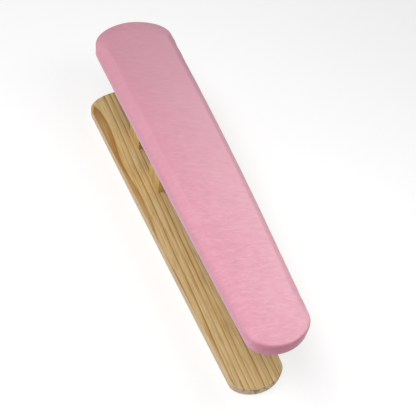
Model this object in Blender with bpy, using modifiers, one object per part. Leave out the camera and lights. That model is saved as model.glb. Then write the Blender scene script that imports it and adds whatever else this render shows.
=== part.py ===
"""Padded sleeve board: a fabric-covered board held above a wooden base by two posts at one end.

Metres, +Z up. The origin is on the underside of the base, half way along it. +X points at the free
end of the padded board, which has nothing under it, so that a sleeve or a forearm goes round it.
Run with: blender --background --python part.py
"""

import math
from collections import namedtuple

import bmesh
import bpy
from mathutils import Matrix, Vector

# ---------------------------------------------------------------- driving dimensions
GAP = 0.0003  # left between pieces that touch

# A board's outline: the half width is mid + taper * u - bow * u * u, with u from -1 at the post end
# to +1 at the free end, and each end closes with a superellipse of its own reach and power.
Board = namedtuple("Board", "centre length mid taper bow post_reach post_power free_reach free_power")

BASE = Board(0.0, 0.560, 0.0517, -0.0151, 0.0008, 0.034, 2.15, 0.023, 1.9)
PADDED = Board(0.0089, 0.567, 0.0513, -0.0105, 0.0038, 0.037, 1.85, 0.0235, 1.9)
SIDE_STEPS = 18  # straight stretches along each bowed side
END_STEPS = 16  # stretches in each quarter of an end

BASE_THICKNESS = 0.015
BASE_EDGE = 0.0015

POST_LENGTH = 0.040  # along X
POST_WIDTH = 0.040  # along Y
POST_EDGE = 0.001
REAR_POST_X = -0.1670
FRONT_POST_X = -0.0768

PADDED_UNDERSIDE = 0.1355  # height of the cover's underside
PADDED_THICKNESS = 0.0243
COVER_FABRIC = 0.0012
COVER_EDGE = 0.0025
HEM_WIDTH = 0.016  # turned under and stapled
TOP_BOARD_THICKNESS = 0.012

STAPLE_SPACING = 0.040
STAPLE_INSET = 0.010  # from the padded board's edge to the row of staples
STAPLE_CROWN = 0.010
STAPLE_LEG = 0.006
STAPLE_WIRE = 0.0007  # flat wire: its thickness, and
STAPLE_WIDTH = 0.0011  # its width

SCREW_LENGTH = 0.040
SCREW_HEAD_RADIUS = 0.0042
SCREW_SHANK_RADIUS = 0.0021
SCREW_HEAD_DEPTH = 0.0030
SCREW_POINT = 0.0048  # length of the tapered point
SCREW_SPREAD = 0.020  # between a post's two screws, along X
SCREW_RECESS = 0.0010  # below the surface of the board
SCREW_STEPS = 16
CROSS_LENGTH = 0.0044
CROSS_WIDTH = 0.0010
CROSS_DEPTH = 0.0016

# ---------------------------------------------------------------- worked out from those
COVER_TOP = PADDED_UNDERSIDE + PADDED_THICKNESS
HEM_TOP = PADDED_UNDERSIDE + COVER_FABRIC
CORE_BOTTOM = HEM_TOP + GAP
CORE_TOP = CORE_BOTTOM + TOP_BOARD_THICKNESS
PAD_BOTTOM = CORE_TOP + GAP
PAD_TOP = COVER_TOP - COVER_FABRIC - GAP
POST_BOTTOM = BASE_THICKNESS + GAP
POST_TOP = CORE_BOTTOM - GAP
CORE_INSET = COVER_FABRIC + GAP
CORE_EDGE = COVER_EDGE - CORE_INSET
CAVITY_EDGE = COVER_EDGE - COVER_FABRIC
PAST = 0.005  # how far a cutter runs past the face it opens

WELD = 1e-6  # points closer than this are one point
FLAT = 0.999  # a face whose normal has at least this much Z is flat
BEVEL_ANGLE = math.radians(50)  # edges sharper than this are softened
SMOOTH_ANGLE = math.radians(30)  # and those sharper than this are shaded sharp


# ---------------------------------------------------------------- scene, collections, materials
def clear_scene():
    for item in list(bpy.data.objects):
        bpy.data.objects.remove(item, do_unlink=True)


def new_collection(name):
    collection = bpy.data.collections.new(name)
    bpy.context.scene.collection.children.link(collection)
    return collection


def make_material(name, colour, roughness, metallic=0.0):
    material = bpy.data.materials.new(name)
    material.use_nodes = True
    shader = material.node_tree.nodes["Principled BSDF"]
    shader.inputs["Base Color"].default_value = (*colour, 1.0)
    shader.inputs["Roughness"].default_value = roughness
    shader.inputs["Metallic"].default_value = metallic
    return material


def mesh_object(name, mesh, collection, location=(0.0, 0.0, 0.0)):
    item = bpy.data.objects.new(name, mesh)
    item.location = location
    collection.objects.link(item)
    return item


def mark_cutter(item):
    item.hide_render = True
    item.display_type = "WIRE"
    return item


def finish_part(item, material, root):
    item.data.materials.clear()
    item.data.materials.append(material)
    item.parent = root


# ---------------------------------------------------------------- shapes
def evaluated_mesh(item):
    """The object's mesh as its modifiers or its curve make it, welded and facing outwards."""
    bpy.context.view_layer.update()
    graph = bpy.context.evaluated_depsgraph_get()
    mesh = bpy.data.meshes.new_from_object(item.evaluated_get(graph))
    work = bmesh.new()
    work.from_mesh(mesh)
    bmesh.ops.remove_doubles(work, verts=work.verts, dist=WELD)
    bmesh.ops.recalc_face_normals(work, faces=work.faces)
    work.to_mesh(mesh)
    work.free()
    return mesh


def outline(board, inset):
    """The board's outline as (x, y) points, anticlockwise, drawn in by inset."""
    half = board.length / 2
    free_start = half - board.free_reach
    post_start = -half + board.post_reach

    def side(x):
        u = x / half
        return board.mid + board.taper * u - board.bow * u * u - inset

    upper = []
    for step in range(END_STEPS):
        angle = math.pi / 2 * step / END_STEPS
        x = free_start + (board.free_reach - inset) * math.cos(angle) ** (2 / board.free_power)
        upper.append((x, side(x) * math.sin(angle) ** (2 / board.free_power)))
    for step in range(SIDE_STEPS + 1):
        x = free_start + (post_start - free_start) * step / SIDE_STEPS
        upper.append((x, side(x)))
    for step in range(END_STEPS - 1, -1, -1):
        angle = math.pi / 2 * step / END_STEPS
        x = post_start - (board.post_reach - inset) * math.cos(angle) ** (2 / board.post_power)
        upper.append((x, side(x) * math.sin(angle) ** (2 / board.post_power)))
    lower = [(x, -y) for x, y in reversed(upper[1:-1])]
    return [(board.centre + x, y) for x, y in upper + lower]


def flat_mesh(points, thickness):
    """A flat outline, filled and extruded by half the thickness to each side."""
    curve = bpy.data.curves.new("outline", "CURVE")
    curve.dimensions = "2D"
    curve.fill_mode = "BOTH"
    curve.extrude = thickness / 2
    spline = curve.splines.new("POLY")
    spline.points.add(len(points) - 1)
    for point, (x, y) in zip(spline.points, points):
        point.co = (x, y, 0.0, 1.0)
    spline.use_cyclic_u = True
    item = bpy.data.objects.new("outline", curve)
    bpy.context.scene.collection.objects.link(item)
    mesh = evaluated_mesh(item)
    bpy.data.objects.remove(item, do_unlink=True)
    return merge_flat_ends(mesh)


def merge_flat_ends(mesh):
    """Each flat end of an extruded outline becomes one face."""
    work = bmesh.new()
    work.from_mesh(mesh)
    for direction in (1, -1):
        faces = [face for face in work.faces if face.normal.z * direction > FLAT]
        bmesh.ops.dissolve_faces(work, faces=faces)
    work.to_mesh(mesh)
    work.free()
    return mesh


def slab(name, board, inset, low, high, collection):
    """A board of the given outline from height low to height high."""
    mesh = flat_mesh(outline(board, inset), high - low)
    return mesh_object(name, mesh, collection, (0.0, 0.0, (low + high) / 2))


def soften(item, width, segments=2):
    modifier = item.modifiers.new("edges", "BEVEL")
    modifier.width = width
    modifier.segments = segments
    modifier.limit_method = "ANGLE"
    modifier.angle_limit = BEVEL_ANGLE


def cut(item, cutter):
    modifier = item.modifiers.new("cut", "BOOLEAN")
    modifier.operation = "DIFFERENCE"
    modifier.solver = "EXACT"
    modifier.object = cutter


def block(name, size, centre, collection):
    bpy.ops.mesh.primitive_cube_add(size=1.0, location=centre)
    item = bpy.context.object
    item.name = name
    item.data.name = name
    item.scale = size
    bpy.ops.object.transform_apply(location=False, rotation=False, scale=True)
    for old in list(item.users_collection):
        old.objects.unlink(item)
    collection.objects.link(item)
    return item


def turned_mesh(profile):
    """A solid of revolution about Z from (radius, height) points that run from top to bottom."""
    mesh = bpy.data.meshes.new("profile")
    edges = [(i, i + 1) for i in range(len(profile) - 1)]
    mesh.from_pydata([(radius, 0.0, height) for radius, height in profile], edges, [])
    item = mesh_object("profile", mesh, bpy.context.scene.collection)
    screw = item.modifiers.new("turn", "SCREW")
    screw.steps = SCREW_STEPS
    screw.render_steps = SCREW_STEPS
    screw.use_merge_vertices = True
    screw.merge_threshold = WELD
    solid = evaluated_mesh(item)
    bpy.data.objects.remove(item, do_unlink=True)
    return solid


def group_mesh(name, mesh, placements):
    """One mesh that holds a separate solid at each placement."""
    work = bmesh.new()
    for placement in placements:
        known = set(work.verts)
        work.from_mesh(mesh)
        fresh = [vert for vert in work.verts if vert not in known]
        bmesh.ops.transform(work, matrix=placement, verts=fresh)
    result = bpy.data.meshes.new(name)
    work.to_mesh(result)
    work.free()
    return result


def place_copies(name, mesh, placements, collection, material, root):
    """An object for each placement, numbered from 1, all sharing one mesh."""
    for number, placement in enumerate(placements, 1):
        item = mesh_object(f"{name}_{number:02d}", mesh, collection)
        finish_part(item, material, root)
        item.matrix_world = placement


# ---------------------------------------------------------------- screws
def screw_profile(clearance):
    """A countersunk wood screw, point down, with its head's face at height 0."""
    head = SCREW_HEAD_RADIUS + clearance
    shank = SCREW_SHANK_RADIUS + clearance
    return [
        (0.0, 0.0),
        (head, 0.0),
        (shank, -SCREW_HEAD_DEPTH),
        (shank, SCREW_POINT - SCREW_LENGTH),
        (0.0, -SCREW_LENGTH - clearance),
    ]


def screw_mesh(cutters):
    """The screw with a cross recess in its head."""
    item = mesh_object("screw_blank", turned_mesh(screw_profile(0.0)), cutters)
    bars = []
    for name, size in (("cross_x", (CROSS_LENGTH, CROSS_WIDTH)), ("cross_y", (CROSS_WIDTH, CROSS_LENGTH))):
        bar = block(name, (*size, 2 * CROSS_DEPTH), (0.0, 0.0, 0.0), cutters)
        bars.append(bar)
        cut(item, bar)
    mesh = evaluated_mesh(item)
    for spare in [item, *bars]:
        bpy.data.objects.remove(spare, do_unlink=True)
    return mesh


def screw_places(height, flip):
    """Where the two screws of each post go; flip turns them point up."""
    turn = Matrix.Rotation(math.pi, 4, "X") if flip else Matrix.Identity(4)
    places = []
    for post_x in (REAR_POST_X, FRONT_POST_X):
        for side in (-0.5, 0.5):
            spot = Vector((post_x + side * SCREW_SPREAD, 0.0, height))
            places.append(Matrix.Translation(spot) @ turn)
    return places


def screw_hole_mesh():
    """A screw with clearance all round and a straight way out over its head."""
    profile = screw_profile(GAP)
    mouth = (profile[1][0], PAST)
    return turned_mesh([(0.0, PAST), mouth] + profile[1:])


# ---------------------------------------------------------------- staples
def staple_mesh():
    """One staple: its crown lies along X just under height 0 and its legs point up."""
    half = STAPLE_CROWN / 2
    inner = half - STAPLE_WIRE
    points = [
        (-half, -GAP - STAPLE_WIRE),
        (half, -GAP - STAPLE_WIRE),
        (half, STAPLE_LEG),
        (inner, STAPLE_LEG),
        (inner, -GAP),
        (-inner, -GAP),
        (-inner, STAPLE_LEG),
        (-half, STAPLE_LEG),
    ]
    mesh = flat_mesh(points, STAPLE_WIDTH)
    mesh.transform(Matrix.Rotation(math.pi / 2, 4, "X"))
    return mesh


def staple_places():
    """Even steps along the padded board's outline, each turned to lie along the edge."""
    points = [Vector(point) for point in outline(PADDED, STAPLE_INSET)]
    lengths = [(points[i + 1 - len(points)] - points[i]).length for i in range(len(points))]
    total = sum(lengths)
    count = round(total / STAPLE_SPACING)
    places = []
    travelled = 0.0
    index = 0
    for number in range(count):
        wanted = (number + 0.5) * total / count
        while travelled + lengths[index] < wanted:
            travelled += lengths[index]
            index += 1
        start = points[index]
        along = (points[index + 1 - len(points)] - start) / lengths[index]
        spot = start + along * (wanted - travelled)
        turn = Matrix.Rotation(math.atan2(along.y, along.x), 4, "Z")
        places.append(Matrix.Translation((spot.x, spot.y, PADDED_UNDERSIDE)) @ turn)
    return places


def staple_slots(places, cutters):
    """A slot for every leg, through the hem and into the top board."""
    leg = block(
        "leg_slot",
        (STAPLE_WIRE + 2 * GAP, STAPLE_WIDTH + 2 * GAP, STAPLE_LEG + GAP + PAST),
        (0.0, 0.0, 0.0),
        cutters,
    )
    lift = (STAPLE_LEG + GAP - PAST) / 2
    offset = (STAPLE_CROWN - STAPLE_WIRE) / 2
    spots = []
    for place in places:
        for side in (-offset, offset):
            spots.append(place @ Matrix.Translation((side, 0.0, lift)))
    mesh = group_mesh("staple_slots", leg.data, spots)
    bpy.data.objects.remove(leg, do_unlink=True)
    return mark_cutter(mesh_object("staple_slots", mesh, cutters))


# ---------------------------------------------------------------- the pieces
def make_base(parts, base_holes):
    base = slab("base_board", BASE, 0.0, 0.0, BASE_THICKNESS, parts)
    soften(base, BASE_EDGE)
    cut(base, base_holes)
    return base


def make_post(name, centre_x, parts, holes):
    size = (POST_LENGTH, POST_WIDTH, POST_TOP - POST_BOTTOM)
    post = block(name, size, (centre_x, 0.0, (POST_TOP + POST_BOTTOM) / 2), parts)
    soften(post, POST_EDGE, 1)
    for cutter in holes:
        cut(post, cutter)
    return post


def make_top_board(parts, top_holes, slots):
    board = slab("top_board", PADDED, CORE_INSET, CORE_BOTTOM, CORE_TOP, parts)
    soften(board, CORE_EDGE, 1)
    cut(board, top_holes)
    cut(board, slots)
    return board


def make_pad(parts):
    pad = slab("foam_pad", PADDED, CORE_INSET, PAD_BOTTOM, PAD_TOP, parts)
    soften(pad, CORE_EDGE, 1)
    return pad


def make_cover(parts, cutters, slots):
    """A skin over the top and sides, turned in under the edge as a hem."""
    cover = slab("fabric_cover", PADDED, 0.0, PADDED_UNDERSIDE, COVER_TOP, parts)
    soften(cover, COVER_EDGE)
    cavity = slab("cavity", PADDED, COVER_FABRIC, HEM_TOP, COVER_TOP - COVER_FABRIC, cutters)
    soften(cavity, CAVITY_EDGE, 1)
    window = slab("window", PADDED, HEM_WIDTH, PADDED_UNDERSIDE - PAST, HEM_TOP + PAST, cutters)
    for cutter in (cavity, window, slots):
        cut(cover, mark_cutter(cutter))
    return cover


def build():
    clear_scene()
    parts = new_collection("padded_sleeve_board")
    cutters = new_collection("cutters")
    root = bpy.data.objects.new("board_frame", None)
    parts.objects.link(root)

    base_wood = make_material("base_wood", (0.55, 0.39, 0.21), 0.55)
    post_wood = make_material("post_wood", (0.58, 0.42, 0.22), 0.55)
    board_wood = make_material("board_wood", (0.62, 0.47, 0.28), 0.65)
    foam = make_material("foam", (0.85, 0.83, 0.76), 0.9)
    pink_fabric = make_material("pink_fabric", (0.74, 0.34, 0.44), 0.85)
    steel = make_material("steel", (0.55, 0.55, 0.56), 0.35, 1.0)

    places = staple_places()
    slots = staple_slots(places, cutters)
    hole = screw_hole_mesh()
    base_places = screw_places(SCREW_RECESS, True)
    top_places = screw_places(CORE_TOP - SCREW_RECESS, False)
    base_hole_mesh = group_mesh("base_screw_holes", hole, base_places)
    top_hole_mesh = group_mesh("top_screw_holes", hole, top_places)
    base_holes = mark_cutter(mesh_object("base_screw_holes", base_hole_mesh, cutters))
    top_holes = mark_cutter(mesh_object("top_screw_holes", top_hole_mesh, cutters))

    finish_part(make_base(parts, base_holes), base_wood, root)
    for name, centre_x in (("rear_post", REAR_POST_X), ("front_post", FRONT_POST_X)):
        finish_part(make_post(name, centre_x, parts, (base_holes, top_holes)), post_wood, root)
    finish_part(make_top_board(parts, top_holes, slots), board_wood, root)
    finish_part(make_pad(parts), foam, root)
    finish_part(make_cover(parts, cutters, slots), pink_fabric, root)

    screw = screw_mesh(cutters)
    screw.shade_smooth()
    screw.set_sharp_from_angle(angle=SMOOTH_ANGLE)
    place_copies("base_screw", screw, base_places, parts, steel, root)
    place_copies("top_screw", screw, top_places, parts, steel, root)
    place_copies("hem_staple", staple_mesh(), places, parts, steel, root)


build()
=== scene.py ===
"""Looks of the padded sleeve board: camera, light and floor, the stretched cover over its foam pad,
the wooden boards and posts, and a procedural material for every piece.

Metres, +Z up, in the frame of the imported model: +X points at the free end of the padded board.
"""

import math
from collections import namedtuple

import bmesh
import bpy
import numpy as np
from mathutils import Matrix, Vector
from mathutils.kdtree import KDTree


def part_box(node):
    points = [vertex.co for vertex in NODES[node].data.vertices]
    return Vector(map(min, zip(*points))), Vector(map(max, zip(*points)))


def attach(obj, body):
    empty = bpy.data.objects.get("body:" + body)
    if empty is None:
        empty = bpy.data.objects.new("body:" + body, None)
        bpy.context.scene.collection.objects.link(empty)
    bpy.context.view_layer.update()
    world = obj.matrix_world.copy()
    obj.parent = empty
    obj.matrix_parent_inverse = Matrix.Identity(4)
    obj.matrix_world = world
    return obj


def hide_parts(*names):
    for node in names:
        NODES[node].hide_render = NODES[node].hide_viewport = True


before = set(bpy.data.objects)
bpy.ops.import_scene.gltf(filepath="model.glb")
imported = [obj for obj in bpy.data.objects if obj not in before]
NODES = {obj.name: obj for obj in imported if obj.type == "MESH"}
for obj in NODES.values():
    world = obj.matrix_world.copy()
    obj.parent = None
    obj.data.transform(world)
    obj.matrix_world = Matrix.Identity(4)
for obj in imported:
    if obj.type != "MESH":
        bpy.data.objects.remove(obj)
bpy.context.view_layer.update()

# ---------------------------------------------------------------- camera
CAMERA_AZIMUTH = 59.76
CAMERA_ELEVATION = 51.91
CAMERA_ROLL = 10.08
CAMERA_TARGET = Vector((0.0261, 0.0216, 0.0644))
CAMERA_DISTANCE = 1.054
CAMERA_LENS = 65.12  # mm
CAMERA_SENSOR = 36.0  # mm

# ---------------------------------------------------------------- the outline of the padded board
# The half width is mid + taper * u - bow * u * u, with u from -1 at the post end to +1 at the free
# end, and each end closes with a superellipse of its own reach and power. The middle line bends
# by sweep, because the cover was pulled a little to one side as it was stretched.
Board = namedtuple(
    "Board", "centre length mid taper bow post_reach post_power free_reach free_power sweep"
)
COVER_LOW, COVER_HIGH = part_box("fabric_cover")
PADDED = Board(
    centre=(COVER_LOW.x + COVER_HIGH.x) / 2, length=COVER_HIGH.x - COVER_LOW.x + 0.0008,
    mid=0.0521, taper=-0.0105, bow=0.0039, post_reach=0.040, post_power=1.87,
    free_reach=0.0268, free_power=2.03, sweep=0.0027,
)

CLOTH = 0.0012  # thickness
HEM_WIDTH = 0.016
SOFT_RADIUS = 0.0085  # rounding of the upper edge along the -Y side
TIGHT_RADIUS = 0.0044  # and elsewhere
LOW_RADIUS = 0.0034  # rounding of the lower edge
COVER_STEPS = (250, 30)  # points along a long side, and round a quarter of an end
HEM_RINGS = 6
LOW_EDGE_RINGS = 6
SIDE_RINGS = 5
TOP_EDGE_RINGS = 10
TOP_RINGS = 24  # over the top, from the edge to the middle line
FOAM_RINGS = 10  # the same under the foam
FOAM_GAP = 0.0004  # between the cloth and the foam
FOAM_FOOT = 0.0004  # height of the foam's lowest ring on the cover, above the foam's underside
WELD = 2e-5  # points nearer than this are one point
SHARP_ANGLE = math.radians(60)

SIM_FRAMES = 20
PRESSURE = 4.0
SLACK = 0.010  # how much too long the slackest cloth is, as a share of its length
TOP_CAP = 0.0022  # the furthest that the simulation may move a point on top
SIDE_CAP = 0.0004  # and on the sides

RIPPLE = 0.00010  # heights of the cloth's unevenness
BROAD_RIPPLE = 0.00012
CREASE = 0.00022
PLEAT = 0.0004
CUT_WAVER = 0.0006  # of the hem's cut edge
FLAT_REACH = 0.0002  # points no higher than this above the underside are in the flat of the hem
EDGE_REACH = 0.0006  # points no further than this from the hem's cut edge are on it
SEED = 7  # of the ripples, creases and waver


# ---------------------------------------------------------------- numbers
def smooth_step(value, low, high):
    """0 below low, 1 above high, and a smooth rise between them."""
    t = np.clip((value - low) / (high - low), 0.0, 1.0)
    return t * t * (3 - 2 * t)


def value_noise(points, scale, seed):
    """Smooth noise from -1 to 1 at each row of points, the same on every run."""
    p = np.asarray(points, float) * scale
    cell = np.floor(p).astype(np.int64)
    f = p - cell
    f = f * f * (3 - 2 * f)
    total = np.zeros(len(p))
    for corner in np.ndindex(*[2] * p.shape[1]):
        mixed = np.full(len(p), seed * 374761393, np.int64)
        for axis, step in enumerate(corner):
            mixed = (mixed ^ ((cell[:, axis] + step) * (668265263 + 362437 * axis))) * 1274126177
            mixed = (mixed ^ (mixed >> 15)) & 0x7FFFFFFF
        weight = np.prod(np.where(corner, f, 1 - f), axis=1)
        total += weight * (mixed / 0x3FFFFFFF - 1)
    return total


# ---------------------------------------------------------------- meshes
def mesh_from(name, points, faces):
    """A new object with its doubled points merged and its faces turned outwards."""
    mesh = bpy.data.meshes.new(name)
    mesh.from_pydata([tuple(p) for p in points], [], faces)
    work = bmesh.new()
    work.from_mesh(mesh)
    bmesh.ops.remove_doubles(work, verts=work.verts, dist=WELD)
    bmesh.ops.recalc_face_normals(work, faces=work.faces)
    work.to_mesh(mesh)
    work.free()
    item = bpy.data.objects.new(name, mesh)
    bpy.context.scene.collection.objects.link(item)
    return item


def read_points(mesh, what="co"):
    """The mesh's points, or another vector of each point, as an array with a row for each."""
    flat = np.empty(len(mesh.vertices) * 3)
    mesh.vertices.foreach_get(what, flat)
    return flat.reshape(-1, 3)


def set_points(mesh, points):
    mesh.vertices.foreach_set("co", np.asarray(points, np.float32).ravel())
    mesh.update()


def baked(item):
    """The item's mesh as its modifiers leave it."""
    bpy.context.view_layer.update()
    graph = bpy.context.evaluated_depsgraph_get()
    return bpy.data.meshes.new_from_object(item.evaluated_get(graph))


def swept(board, x):
    """How far the board's middle line lies towards +Y."""
    u = x / (board.length / 2)
    return board.sweep * (0.42 - u * u)


def outline(board, inset, steps):
    """Points round the board, anticlockwise from the tip of its free end, drawn in by inset."""
    side_steps, end_steps = steps
    half = board.length / 2
    free_start = half - board.free_reach
    post_start = -half + board.post_reach
    angle = np.linspace(0, math.pi / 2, end_steps, endpoint=False)
    free_x = free_start + (board.free_reach - inset) * np.cos(angle) ** (2 / board.free_power)
    post_x = post_start - (board.post_reach - inset) * np.cos(angle) ** (2 / board.post_power)
    side_x = np.linspace(free_start, post_start, side_steps + 1)
    x = np.concatenate([free_x, side_x, post_x[::-1]])
    squeeze = np.concatenate([
        np.sin(angle) ** (2 / board.free_power),
        np.ones(side_steps + 1),
        (np.sin(angle) ** (2 / board.post_power))[::-1],
    ])
    u = x / half
    y = (board.mid + board.taper * u - board.bow * u * u - inset) * squeeze
    x = np.concatenate([x, x[-2:0:-1]])
    y = np.concatenate([y, -y[-2:0:-1]]) + swept(board, x)
    return np.column_stack([x + board.centre, y])


def ring_faces(rings, count):
    """Quads between each ring of points and the next."""
    faces = []
    for ring in range(rings - 1):
        start, above = ring * count, (ring + 1) * count
        for i in range(count):
            j = (i + 1) % count
            faces.append((start + i, start + j, above + j, above + i))
    return faces


def spine_of(edge, board):
    """For each point of the edge, a point on the board's middle line."""
    half = board.length / 2
    low = board.centre - half + board.mid - board.taper
    high = board.centre + half - (board.mid + board.taper)
    x = np.clip(edge[:, 0], low, high)
    return np.column_stack([x, swept(board, x - board.centre)])


def flat_ring(board, inset, z, steps):
    """The board's outline, drawn in by inset, at one height."""
    edge = outline(board, inset, steps)
    return np.column_stack([edge, np.full(len(edge), z)])


def top_radius(edge, board):
    """The rounding of the upper edge at each point: soft along the -Y side, tight elsewhere."""
    half = board.length / 2
    x = edge[:, 0] - board.centre
    soft = smooth_step(-edge[:, 1], -0.01, 0.03)
    soft *= 1 - smooth_step(x, half - 2.0 * board.free_reach, half - 0.3 * board.free_reach)
    soft *= smooth_step(x, -half + 0.3 * board.post_reach, -half + 1.5 * board.post_reach)
    return TIGHT_RADIUS + (SOFT_RADIUS - TIGHT_RADIUS) * soft


def side_rings(board, steps, low, high):
    """Rings up the side of the cover, round its lower and its upper edge."""
    rings = []
    for t in np.linspace(0, math.pi / 2, LOW_EDGE_RINGS):
        drawn_in = LOW_RADIUS * (1 - math.sin(t))
        rings.append(flat_ring(board, drawn_in, low + LOW_RADIUS * (1 - math.cos(t)), steps))
    edge = outline(board, 0.0, steps)
    inward = (outline(board, SOFT_RADIUS, steps) - edge) / SOFT_RADIUS
    radius = top_radius(edge, board)
    for t in np.linspace(0, 1, SIDE_RINGS)[1:-1]:
        z = (low + LOW_RADIUS) * (1 - t) + (high - radius) * t
        rings.append(np.column_stack([edge, z]))
    for t in np.linspace(0, math.pi / 2, TOP_EDGE_RINGS):
        flat = edge + inward * (radius * (1 - math.cos(t)))[:, None]
        rings.append(np.column_stack([flat, high - radius * (1 - math.sin(t))]))
    return rings


def close_over(edge, board, spans):
    """Rings that carry an edge across a face to the board's middle line."""
    spine = spine_of(edge, board)
    rings = []
    for t in np.linspace(0, 1, spans + 1)[1:]:
        flat = edge[:, :2] * (1 - t) + spine * t
        rings.append(np.column_stack([flat, edge[:, 2]]))
    return rings


# ---------------------------------------------------------------- cover
def cover_grid():
    """From the hem's cut edge, out under the board, round its side and over its top."""
    low, high = COVER_LOW.z, COVER_HIGH.z
    rings = [flat_ring(PADDED, inset, low, COVER_STEPS)
             for inset in np.linspace(HEM_WIDTH, LOW_RADIUS, HEM_RINGS)[:-1]]
    rings += side_rings(PADDED, COVER_STEPS, low, high)
    return np.array(rings + close_over(rings[-1], PADDED, TOP_RINGS))


def add_group(item, name, weights):
    """Make a vertex group and give back its name."""
    group = item.vertex_groups.new(name=name)
    for index in np.nonzero(weights > 0.001)[0]:
        group.add([int(index)], float(weights[index]), "REPLACE")
    return name


def crease_zone(points):
    """Where the cloth is a little too long: beside the +Y edge, towards the free end."""
    along = smooth_step(points[:, 0], 0.10, 0.17) * (1 - smooth_step(points[:, 0], 0.23, 0.29))
    across = smooth_step(points[:, 1], -0.01, 0.015) * (1 - smooth_step(points[:, 1], 0.038, 0.045))
    return along * across


def simulate(cover):
    """The cloth swells over the foam, held where it is stapled, and buckles where it is slack."""
    low, high = COVER_LOW.z, COVER_HIGH.z
    rest = read_points(cover.data)
    held = 1 - smooth_step(rest[:, 2], low + LOW_RADIUS * 0.4, low + LOW_RADIUS * 1.6)
    slack = (0.3 + 0.7 * crease_zone(rest)) * (rest[:, 2] > high - SOFT_RADIUS)
    cloth = cover.modifiers.new("cloth", "CLOTH")
    settings = cloth.settings
    settings.quality = 7
    settings.mass = 0.2
    settings.tension_stiffness = 30
    settings.compression_stiffness = 30
    settings.shear_stiffness = 10
    settings.bending_stiffness = 0.2
    settings.use_pressure = True
    settings.uniform_pressure_force = PRESSURE
    settings.effector_weights.gravity = 0
    settings.vertex_group_mass = add_group(cover, "held", held)
    settings.vertex_group_shrink = add_group(cover, "slack", slack)
    settings.shrink_min = 0.0
    settings.shrink_max = -SLACK
    cloth.point_cache.frame_start = 1
    cloth.point_cache.frame_end = SIM_FRAMES
    scene = bpy.context.scene
    for step in range(1, SIM_FRAMES + 1):
        scene.frame_set(step)
    moved = read_points(baked(cover)) - rest
    length = np.linalg.norm(moved, axis=1, keepdims=True)
    on_top = smooth_step(rest[:, 2], high - SOFT_RADIUS, high - SOFT_RADIUS * 0.1)[:, None]
    most = SIDE_CAP + (TOP_CAP - SIDE_CAP) * on_top
    moved *= np.minimum(1.0, most / np.maximum(length, 1e-9))
    cover.modifiers.clear()
    cover.vertex_groups.clear()
    scene.frame_set(1)
    return rest + moved


def edge_distance(points):
    """How far in from the board's long sides each point lies."""
    x = points[:, 0] - PADDED.centre
    u = np.clip(x / (PADDED.length / 2), -1, 1)
    half_width = PADDED.mid + PADDED.taper * u - PADDED.bow * u * u
    return half_width - np.abs(points[:, 1] - swept(PADDED, x))


def wrinkle_height(rest):
    """Ripples across the board where the cloth is pulled over its edges, and slack creases."""
    plan = rest[:, :2]
    inside = edge_distance(rest)
    near_edge = 1 - smooth_step(inside, 0.004, 0.020)
    bent = value_noise(plan, 22.0, SEED) * 0.006
    drawn = np.column_stack([plan[:, 0] + bent, plan[:, 1]])
    ripple = value_noise(drawn, np.array([150.0, 26.0]), SEED + 1)
    broad = value_noise(drawn, np.array([60.0, 14.0]), SEED + 2)
    slant = np.column_stack([plan[:, 0] + 0.6 * plan[:, 1], plan[:, 1] - 0.6 * plan[:, 0]])
    crease = 1 - np.abs(value_noise(slant, np.array([190.0, 45.0]), SEED + 3)) * 2.2
    height = RIPPLE * ripple * (0.35 + near_edge) + BROAD_RIPPLE * broad
    return height + CREASE * np.clip(crease, 0, 1) * crease_zone(rest)


def wrinkled(points, rest, normals):
    """The points pushed out along their normals by the ripples and creases of the top."""
    on_top = smooth_step(rest[:, 2], COVER_HIGH.z - SOFT_RADIUS, COVER_HIGH.z - SOFT_RADIUS * 0.3)
    return points + normals * (wrinkle_height(rest) * on_top)[:, None]


def pleated_hem(points, rest):
    """Pleats where the hem is gathered round the curved ends, and a slightly uneven cut edge."""
    half = PADDED.length / 2
    x = rest[:, 0] - PADDED.centre
    y = rest[:, 1] - swept(PADDED, x)
    centre_x = np.where(x > 0, half - 1.5 * PADDED.free_reach, -half + 1.4 * PADDED.post_reach)
    turning = smooth_step(np.where(x > 0, x - centre_x, centre_x - x), -0.004, 0.010)
    angle = np.arctan2(y, x - centre_x)
    wave = 0.6 * np.sin(angle * 34) + 0.4 * np.sin(angle * 55 + 1.3)
    under = rest[:, 2] < COVER_LOW.z + FLAT_REACH
    made = points.copy()
    made[:, 2] -= under * turning * PLEAT * np.maximum(wave, 0)
    flat = np.column_stack([x - centre_x, y])
    outward = flat / np.maximum(np.linalg.norm(flat, axis=1), 1e-6)[:, None]
    outward[turning == 0] = 0
    uneven = value_noise(rest[:, :2], 90.0, SEED) * CUT_WAVER
    cut_edge = under & (edge_distance(rest) > HEM_WIDTH - EDGE_REACH)
    made[:, :2] += outward * (under * turning * wave * PLEAT)[:, None]
    made[:, 1] += np.where(cut_edge, np.sign(y) * uneven * (1 - turning), 0)
    return made


def make_cover():
    """The cover as one sheet of cloth, and its settled points ring by ring for the foam."""
    grid = cover_grid()
    cover = mesh_from("padded_cover", grid.reshape(-1, 3), ring_faces(len(grid), grid.shape[1]))
    rest = read_points(cover.data)
    points = simulate(cover)
    tree = KDTree(len(rest))
    for index, point in enumerate(rest):
        tree.insert(point, index)
    tree.balance()
    where = np.array([tree.find(point)[1] for point in grid.reshape(-1, 3)])
    set_points(cover.data, points)
    normals = read_points(cover.data, "normal")
    inner = (points - normals * (CLOTH + FOAM_GAP))[where].reshape(grid.shape)
    points = wrinkled(points, rest, normals)
    set_points(cover.data, pleated_hem(points, rest))
    skin = cover.modifiers.new("cloth", "SOLIDIFY")
    skin.thickness = CLOTH
    skin.offset = -1.0
    cover.data = baked(cover)
    cover.modifiers.clear()
    cover.data.shade_smooth()
    cover.data.set_sharp_from_angle(angle=SHARP_ANGLE)
    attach(cover, "root")
    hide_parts("fabric_cover")
    return cover, inner


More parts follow.
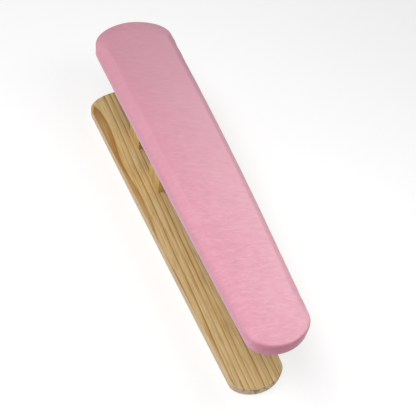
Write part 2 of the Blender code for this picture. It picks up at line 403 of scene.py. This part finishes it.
def make_pad(inner):
    """The foam that fills the cover from the top board up."""
    low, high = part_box("foam_pad")
    above = inner[inner[:, :, 2].min(axis=1) > low.z + FOAM_FOOT]
    foot = above[0].copy()
    foot[:, 2] = low.z
    bottom = close_over(foot, PADDED, FOAM_RINGS)[::-1]
    rings = np.array(bottom + [foot] + list(above[::2]) + [above[-1]])
    pad = mesh_from("foam_slab", rings.reshape(-1, 3), ring_faces(len(rings), rings.shape[1]))
    pad.data.shade_smooth()
    pad.data.set_sharp_from_angle(angle=SHARP_ANGLE)
    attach(pad, "root")
    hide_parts("foam_pad")
    return pad


# ---------------------------------------------------------------- shader graphs
class Graph:
    """A short way to write a material's node graph."""

    def __init__(self, name):
        self.material = bpy.data.materials.new(name)
        self.material.use_nodes = True
        self.tree = self.material.node_tree
        self.shader = self.tree.nodes["Principled BSDF"]
        self.place = self.tree.nodes.new("ShaderNodeTexCoord").outputs["Object"]

    def link(self, value, socket):
        """Join a socket to another node's output, or give it a plain value."""
        if isinstance(value, bpy.types.NodeSocket):
            self.tree.links.new(value, socket)
        else:
            socket.default_value = value

    def math(self, operation, a, b=0.0):
        node = self.tree.nodes.new("ShaderNodeMath")
        node.operation = operation
        self.link(a, node.inputs[0])
        self.link(b, node.inputs[1])
        return node.outputs[0]

    def add(self, *values):
        total = values[0]
        for value in values[1:]:
            total = self.math("ADD", total, value)
        return total

    def times(self, a, b):
        return self.math("MULTIPLY", a, b)

    def size(self, value):
        """The value without its sign."""
        return self.math("ABSOLUTE", value)

    def join(self, x, y, z):
        node = self.tree.nodes.new("ShaderNodeCombineXYZ")
        for socket, value in zip(node.inputs, (x, y, z)):
            self.link(value, socket)
        return node.outputs[0]

    def parts(self, vector=None):
        node = self.tree.nodes.new("ShaderNodeSeparateXYZ")
        self.link(vector or self.place, node.inputs[0])
        return list(node.outputs)

    def stretch(self, scale, vector=None, shift=(0.0, 0.0, 0.0)):
        node = self.tree.nodes.new("ShaderNodeMapping")
        self.link(vector or self.place, node.inputs["Vector"])
        node.inputs["Location"].default_value = shift
        node.inputs["Scale"].default_value = scale
        return node.outputs[0]

    def noise(self, scale, vector=None, detail=3.0, roughness=0.5, shift=(0.0, 0.0, 0.0)):
        """Noise from about 0.2 to 0.8, with scale cycles a metre along each axis."""
        node = self.tree.nodes.new("ShaderNodeTexNoise")
        self.link(self.stretch(scale, vector, shift), node.inputs["Vector"])
        node.inputs["Scale"].default_value = 1.0
        node.inputs["Detail"].default_value = detail
        node.inputs["Roughness"].default_value = roughness
        return node.outputs["Fac"]

    def swing(self, *where, **how):
        """The same noise, from about -0.3 to 0.3."""
        return self.math("SUBTRACT", self.noise(*where, **how), 0.5)

    def normal(self):
        return self.tree.nodes.new("ShaderNodeNewGeometry").outputs["Normal"]

    def between(self, value, low, high, to_low=0.0, to_high=1.0, smooth=True):
        """to_low where value is under low, to_high where it is over high, and a rise between."""
        node = self.tree.nodes.new("ShaderNodeMapRange")
        node.interpolation_type = "SMOOTHSTEP" if smooth else "LINEAR"
        self.link(value, node.inputs["Value"])
        node.inputs["From Min"].default_value = low
        node.inputs["From Max"].default_value = high
        node.inputs["To Min"].default_value = to_low
        node.inputs["To Max"].default_value = to_high
        return node.outputs[0]

    def ramp(self, value, stops):
        """A colour or grey ramp: stops are (position, colour or number)."""
        node = self.tree.nodes.new("ShaderNodeValToRGB")
        self.link(value, node.inputs[0])
        elements = node.color_ramp.elements
        while len(elements) < len(stops):
            elements.new(0.5)
        for element, (position, colour) in zip(elements, stops):
            element.position = position
            parts = colour if isinstance(colour, tuple) else (colour, colour, colour)
            element.color = (*parts, 1.0)
        return node.outputs[0]

    def mix(self, factor, a, b):
        """Colour a where factor is 0 and colour b where it is 1."""
        node = self.tree.nodes.new("ShaderNodeMix")
        node.data_type = "RGBA"
        self.link(factor, node.inputs["Factor"])
        for socket, value in ((node.inputs[6], a), (node.inputs[7], b)):
            self.link(value if isinstance(value, bpy.types.NodeSocket) else (*value, 1.0), socket)
        return node.outputs[2]

    def bump(self, height, strength, distance, before=None):
        node = self.tree.nodes.new("ShaderNodeBump")
        node.inputs["Strength"].default_value = strength
        node.inputs["Distance"].default_value = distance
        self.link(height, node.inputs["Height"])
        if before is not None:
            self.link(before, node.inputs["Normal"])
        return node.outputs[0]

    def surface(self, **inputs):
        """Fill the shader's sockets, with _ for a space in their names."""
        for name, value in inputs.items():
            self.link(value, self.shader.inputs[name.replace("_", " ")])
        return self.material


# ---------------------------------------------------------------- fabric
NAP_TONES = [
    (0.30, (0.610, 0.265, 0.345)),
    (0.50, (0.690, 0.330, 0.410)),
    (0.70, (0.755, 0.410, 0.485)),
]
# Painted shade, towards the -Y side.
SHADE_SIDE_PINK = (0.670, 0.265, 0.360)
# Painted sheen, towards the +Y side.
SHEEN_SIDE_PINK = (0.740, 0.430, 0.490)
# Painted shade, towards the post end.
POST_END_SHADE_PINK = (0.560, 0.270, 0.340)
# Painted shade, on the end faces.
END_SHADE_PINK = (0.560, 0.165, 0.245)
# Painted sheen, a rim low on the sides.
SHEEN_RIM_PINK = (0.610, 0.440, 0.530)
FIBRE_PINK = (0.900, 0.700, 0.760)
SHEEN_TINT = (0.90, 0.84, 1.0, 1.0)
KNIT_PITCH = (0.0011, 0.0013)  # of the fine knit, along X and Y


def pink_fabric():
    """Short-napped cloth: crosswise streaks, a fine knit, mottling, painted shade (-Y side, post
    end, end faces) and painted sheen (+Y side, a rim low down).
    """
    g = Graph("pink_cloth")
    x, y, z = g.parts()
    facing_end = g.size(g.parts(g.normal())[0])
    drift = g.noise((14, 9, 9), detail=2)
    skewed = g.add(x, g.times(y, -0.30), g.times(drift, 0.03))
    streaks = g.swing((470, 105, 130), g.join(skewed, y, z), roughness=0.65)
    broad = g.noise((210, 45, 50), g.join(skewed, y, z), detail=2, shift=(3, 1, 0))
    mottle = g.noise((18, 22, 22), roughness=0.6, shift=(1, 5, 2))
    fibres = g.noise((1500, 900, 1500), detail=2, roughness=0.7)
    raised = g.between(x, -0.16, 0.16, 0.35, 1.0)
    nap = g.times(streaks, raised)
    tone = g.add(0.25, g.times(nap, 0.62), g.times(broad, 0.3), g.times(mottle, 0.2))
    colour = g.ramp(tone, NAP_TONES)

    # Painted shade: the colour turns a deeper pink towards the -Y side.
    deep = g.between(g.add(y, g.times(drift, 0.02)), -0.040, 0.010, 0.40, 0.0)
    colour = g.mix(deep, colour, SHADE_SIDE_PINK)
    # Painted sheen: the colour turns paler towards the +Y side.
    painted_sheen = g.between(g.add(y, g.times(drift, 0.03)), -0.01, 0.06, 0.0, 0.40)
    colour = g.mix(painted_sheen, colour, SHEEN_SIDE_PINK)
    # Painted shade: the colour turns duller and darker towards the post end (-X).
    dull = g.between(g.add(x, g.times(drift, 0.05)), -0.26, 0.16, 0.50, 0.0)
    colour = g.mix(dull, colour, POST_END_SHADE_PINK)
    # Painted shade: a darker rose on the faces that look along X, at the ends.
    colour = g.mix(g.between(facing_end, 0.35, 0.85, 0.0, 0.55), colour, END_SHADE_PINK)
    # Painted sheen: a pale lilac rim low on the cover's sides, weaker on the end faces.
    rise = g.add(z, -COVER_LOW.z, g.times(broad, 0.004))
    painted_sheen_rim = g.times(g.between(rise, 0.002, 0.021, 0.68, 0.0),
                     g.between(facing_end, 0.25, 0.70, 1.0, 0.35))
    colour = g.mix(painted_sheen_rim, colour, SHEEN_RIM_PINK)
    colour = g.mix(g.between(fibres, 0.35, 0.75, 0.0, 0.10), colour, FIBRE_PINK)

    knit = g.times(*[g.math("SINE", g.times(way, 2 * math.pi / pitch))
                     for way, pitch in zip((x, y), KNIT_PITCH)])
    normal = g.bump(broad, 0.15, 0.0006)
    normal = g.bump(nap, 0.45, 0.0008, normal)
    normal = g.bump(g.add(g.times(knit, 0.3), fibres), 0.25, 0.0003, normal)
    return g.surface(Base_Color=colour, Roughness=g.between(tone, 0.3, 0.7, 0.95, 0.85),
                     Normal=normal, Sheen_Weight=0.50, Sheen_Roughness=0.22,
                     Sheen_Tint=SHEEN_TINT, Specular_IOR_Level=0.08)


# ---------------------------------------------------------------- wood
# along is the grain's axis, pith the centre of the rings across it, ring the width of a year, and
# start the phase of the rings. flame is how much they rise and fall above the pith, and lean how
# fast they drop along the grain, in flames a metre. seed picks the plank, and raw is how weathered
# its sawn edges are.
Wood = namedtuple("Wood", "along pith ring start flame lean seed raw tones")
Tones = namedtuple("Tones", "light mid late")
TAN = Tones((0.725, 0.570, 0.312), (0.630, 0.445, 0.190), (0.315, 0.120, 0.006))
STRAW = Tones((0.800, 0.600, 0.240), (0.720, 0.500, 0.150), (0.380, 0.170, 0.012))
GREYED = (0.580, 0.500, 0.420)
BLOTCH = (0.190, 0.120, 0.070)
BASE_WOOD = Wood(
    along=0, pith=(-0.058, -0.02465), ring=0.00525, start=0.07,
    flame=0.0013, lean=5.0, seed=0.0, raw=0.8, tones=TAN,
)
POST_WOOD = Wood(
    along=2, pith=(-0.300, 0.060), ring=0.0040, start=0.0,
    flame=0.004, lean=0.0, seed=3.0, raw=0.0, tones=STRAW,
)
CORE_WOOD = Wood(
    along=0, pith=(0.030, 0.085), ring=0.0042, start=0.0,
    flame=0.006, lean=0.0, seed=6.0, raw=0.3, tones=TAN,
)
FLAME_LENGTH = 0.165  # from one flame to the next, along the grain
FLAME_SHIFT = 0.040
ROUGH_YEARS = 0.6  # how uneven the years are, in rings
# How dark the wood is through a year: on the quarter, near the pith, and in its thin inner lines.
LATE_WOOD = [(0.0, 0.15), (0.03, 0.0), (0.45, 0.06), (0.66, 0.26), (0.80, 0.85), (0.90, 1.0),
             (0.97, 0.95), (1.0, 0.15)]
FLAT_CUT = [(0.0, 0.0), (0.50, 0.0), (0.62, 0.50), (0.88, 0.62), (0.96, 0.95), (1.0, 0.1)]
THIN_LINES = [(0.20, 0.0), (0.26, 1.0), (0.32, 0.0), (0.46, 0.0), (0.52, 0.8), (0.58, 0.0)]


def plank_shift(cut):
    """Where in the noise this plank lies, so that no two look alike."""
    return (cut.seed, cut.seed * 1.7, cut.seed * 0.6)


def growth_rings(g, cut, grain, across, depth):
    """How dark the late wood is, from 0 to 1, and a random number from 0 to 1 for each year."""
    place = g.join(grain, across, depth)
    shift = plank_shift(cut)
    sway = g.swing((3.0, 6, 6), place, detail=1, shift=shift)
    wander = g.swing((12, 50, 50), place, detail=2, shift=shift)
    lumps = g.swing((9.0, 5, 5), place, detail=1, shift=(cut.seed, 4, 8))
    swell = g.math("COSINE", g.times(g.add(grain, FLAME_SHIFT + cut.seed),
                                     2 * math.pi / FLAME_LENGTH))
    heave = g.add(g.times(swell, -0.5), g.times(lumps, 0.6), g.times(grain, -cut.lean))
    side = g.add(g.math("SUBTRACT", across, cut.pith[0]), g.times(sway, 0.004))
    above = g.between(g.size(side), 0.008, 0.024, cut.flame, cut.flame * 0.3)
    deep = g.add(g.math("SUBTRACT", depth, cut.pith[1]), g.times(heave, above))
    radius = g.math("SQRT", g.add(g.times(side, side), g.times(deep, deep)))
    radius = g.add(radius, g.times(wander, 0.0009))
    uneven = g.swing((120, 1, 1), g.join(radius, 0.0, 0.0), detail=1, shift=shift)
    worn = g.add(radius, g.times(uneven, ROUGH_YEARS * cut.ring))
    years = g.add(g.math("DIVIDE", worn, cut.ring), cut.start)
    phase = g.math("FRACT", years)
    pick = g.tree.nodes.new("ShaderNodeTexWhiteNoise")
    pick.noise_dimensions = "1D"
    g.link(g.math("FLOOR", years), pick.inputs["W"])
    year = pick.outputs["Value"]
    strength = g.between(year, 0.0, 0.8, 0.15, 1.0, smooth=False)
    near_pith = g.between(g.size(side), 0.010, 0.020, 1.0, 0.0)
    late = g.math("MAXIMUM", g.times(g.ramp(phase, LATE_WOOD), strength),
                  g.times(g.ramp(phase, FLAT_CUT), near_pith))
    patchy = g.between(g.noise((14, 60, 60), place, detail=1, shift=(cut.seed, 7, 3)), 0.45, 0.60)
    thin = g.times(g.times(g.ramp(phase, THIN_LINES), patchy), 0.65)
    return g.math("MAXIMUM", late, thin), year


def wood(name, cut):
    """Solid wood: growth rings round a pith line that runs along one axis, fibres and pores."""
    g = Graph(name)
    axes = g.parts()
    grain = axes[cut.along]
    across, depth = [axes[i] for i in range(3) if i != cut.along]
    late, year = growth_rings(g, cut, grain, across, depth)
    place = g.join(grain, across, depth)
    shift = plank_shift(cut)
    fibres = g.noise((18, 800, 800), place, roughness=0.6, shift=shift)
    streaks = g.noise((5, 170, 170), place, roughness=0.6, shift=shift)
    fine = g.noise((24, 400, 400), place, detail=2, shift=(cut.seed, 3, 6))
    patches = g.noise((16, 90, 90), place, detail=1, shift=(cut.seed, 5, 9))
    warm = g.noise((4, 16, 16), place, detail=2, shift=(cut.seed + 4, 2, 1))
    pores = g.between(g.noise((70, 1300, 1300), place, detail=1, shift=shift), 0.64, 0.72)

    tones = cut.tones
    faded = g.between(patches, 0.36, 0.56, 0.75, 1.0)
    pale = tuple(min(1.0, c * 1.2) for c in tones.light)
    colour = g.mix(g.between(streaks, 0.32, 0.68), tones.light, tones.mid)
    colour = g.mix(g.between(fine, 0.47, 0.70, 0.0, 0.42), colour, tones.late)
    colour = g.mix(g.between(warm, 0.45, 0.75, 0.0, 0.5), colour, tones.mid)
    colour = g.mix(g.between(year, 0.4, 1.0, 0.0, 0.5), colour, tones.mid)
    colour = g.mix(g.times(g.times(late, faded), 0.95), colour, tones.late)
    colour = g.mix(g.times(pores, 0.25), colour, tones.late)
    colour = g.mix(g.between(fibres, 0.35, 0.8, 0.0, 0.16), colour, pale)

    facing = g.parts(g.normal())
    sawn_edge = g.between(g.size(facing[2]), 0.30, 0.85, 1.0, 0.0)
    colour = g.mix(g.times(sawn_edge, cut.raw), colour, g.mix(0.60, colour, GREYED))
    end_grain = g.between(g.size(facing[cut.along]), 0.35, 0.85)
    blotch = g.between(g.noise((60, 130, 60), place, detail=2, shift=shift), 0.54, 0.62)
    colour = g.mix(g.times(end_grain, g.add(0.10, g.times(blotch, 0.7))), colour, BLOTCH)

    height = g.add(g.times(fibres, 0.5), g.times(late, -0.06))
    normal = g.bump(height, 0.20, 0.0003)
    normal = g.bump(g.times(pores, -1.0), 0.4, 0.0002, normal)
    return g.surface(Base_Color=colour, Roughness=g.between(late, 0.0, 1.0, 0.60, 0.48),
                     Normal=normal, Specular_IOR_Level=0.30)


# ---------------------------------------------------------------- other materials
def foam():
    """Open-celled foam, cream-coloured, with painted shade in the hollows of its cells."""
    g = Graph("foam_cells")
    cells = g.tree.nodes.new("ShaderNodeTexVoronoi")
    g.link(g.stretch((900, 900, 900)), cells.inputs["Vector"])
    cells.inputs["Scale"].default_value = 1.0
    tint = g.noise((30, 30, 30), detail=2)
    colour = g.mix(g.between(tint, 0.3, 0.7), (0.80, 0.76, 0.64), (0.88, 0.86, 0.78))
    # Painted shade: darker in the hollows of the cells.
    pit_shade = g.between(cells.outputs["Distance"], 0.0, 0.5, 0.3, 0.0)
    colour = g.mix(pit_shade, colour, (0.55, 0.50, 0.38))
    normal = g.bump(cells.outputs["Distance"], 0.6, 0.0004)
    return g.surface(Base_Color=colour, Roughness=0.95, Normal=normal)


def zinc():
    """Zinc-plated steel with fine scratches and a few dull patches."""
    g = Graph("zinc_plate")
    scratches = g.noise((2500, 300, 2500), detail=2)
    patches = g.noise((260, 260, 260))
    colour = g.mix(g.between(patches, 0.35, 0.65), (0.56, 0.56, 0.57), (0.72, 0.72, 0.71))
    dull = g.add(scratches, g.times(patches, 0.5))
    rough = g.between(dull, 0.5, 1.0, 0.25, 0.5)
    normal = g.bump(scratches, 0.15, 0.0001)
    return g.surface(Base_Color=colour, Metallic=1.0, Roughness=rough, Normal=normal)


def floor_white():
    """A matt white that glows a little, so that the floor stays pale."""
    g = Graph("floor_white")
    faint = g.noise((3, 3, 3), detail=2)
    colour = g.mix(faint, (0.49, 0.49, 0.49), (0.51, 0.51, 0.51))
    return g.surface(Base_Color=colour, Roughness=0.9, Specular_IOR_Level=0.1,
                     Emission_Color=(*WHITE, 1.0), Emission_Strength=FLOOR_GLOW)


def dress(item, material):
    """Give the item one material."""
    item.data.materials.clear()
    item.data.materials.append(material)


def dress_nodes():
    """Wood or zinc for each CAD node that shows as it is."""
    base_wood = wood("base_grain", BASE_WOOD)
    post_wood = wood("post_grain", POST_WOOD)
    board_wood = wood("board_grain", CORE_WOOD)
    steel = zinc()
    for name, node in NODES.items():
        if name == "base_board":
            dress(node, base_wood)
        elif name.endswith("_post"):
            dress(node, post_wood)
        elif name == "top_board":
            dress(node, board_wood)
        elif "screw" in name or "staple" in name:
            dress(node, steel)


# ---------------------------------------------------------------- stage
WHITE = (1.0, 1.0, 1.0)
FLOOR_SIZE = 60.0
FLOOR_DROP = 0.0002  # below the object's underside
FLOOR_GLOW = 0.55
WORLD_STRENGTH = 0.16
# Each area light: where it is, what it is aimed at, its size and its power in watts.
LIGHTS = {
    "left_key": ((0.20, -0.80, 2.10), (0.0, 0.0, 0.08), (2.2, 0.9), 35.0),
    "near_top": ((0.26, 0.24, 0.78), (0.24, 0.0, 0.16), (0.3, 0.4), 2.0),
    "side_fill": ((-0.10, -1.30, 0.40), (-0.05, 0.0, 0.10), (1.0, 0.5), 3.0),
}


def make_floor():
    """A pale floor far wider than the view."""
    bpy.ops.mesh.primitive_plane_add(size=FLOOR_SIZE, location=(0.0, 0.0, -FLOOR_DROP))
    floor = bpy.context.object
    floor.name = "floor"
    dress(floor, floor_white())


def make_camera():
    """The camera looks at its target from an azimuth round from -Y, and is rolled."""
    angles = (CAMERA_AZIMUTH, CAMERA_ELEVATION, CAMERA_ROLL)
    azimuth, elevation, roll = (math.radians(a) for a in angles)
    back = Vector((
        math.sin(azimuth) * math.cos(elevation),
        -math.cos(azimuth) * math.cos(elevation),
        math.sin(elevation),
    ))
    right = Vector((math.cos(azimuth), math.sin(azimuth), 0.0))
    up = back.cross(right)
    turned_right = right * math.cos(roll) + up * math.sin(roll)
    turned_up = up * math.cos(roll) - right * math.sin(roll)
    camera = bpy.data.objects.new("camera", bpy.data.cameras.new("camera"))
    camera.data.lens = CAMERA_LENS
    camera.data.sensor_width = CAMERA_SENSOR
    turn = Matrix((turned_right, turned_up, back)).transposed().to_4x4()
    camera.matrix_world = Matrix.Translation(CAMERA_TARGET + back * CAMERA_DISTANCE) @ turn
    bpy.context.scene.collection.objects.link(camera)
    bpy.context.scene.camera = camera


def area_light(name, place, aim, size, power):
    """A rectangular light at one place, turned to face another."""
    light = bpy.data.lights.new(name, "AREA")
    light.shape = "RECTANGLE"
    light.size, light.size_y = size
    light.energy = power
    light.color = WHITE
    item = bpy.data.objects.new(name, light)
    item.location = place
    item.rotation_euler = (Vector(aim) - Vector(place)).to_track_quat("-Z", "Y").to_euler()
    bpy.context.scene.collection.objects.link(item)


def make_lights():
    """Three soft lights and an even dim world, shown without a tone curve."""
    for name, light in LIGHTS.items():
        area_light(name, *light)
    world = bpy.data.worlds.new("studio")
    bpy.context.scene.world = world
    world.use_nodes = True
    background = world.node_tree.nodes["Background"]
    background.inputs["Color"].default_value = (*WHITE, 1.0)
    background.inputs["Strength"].default_value = WORLD_STRENGTH
    bpy.context.scene.view_settings.view_transform = "Standard"


# ---------------------------------------------------------------- put together
make_camera()
make_lights()
make_floor()
cover, inner_skin = make_cover()
dress(cover, pink_fabric())
dress(make_pad(inner_skin), foam())
dress_nodes()
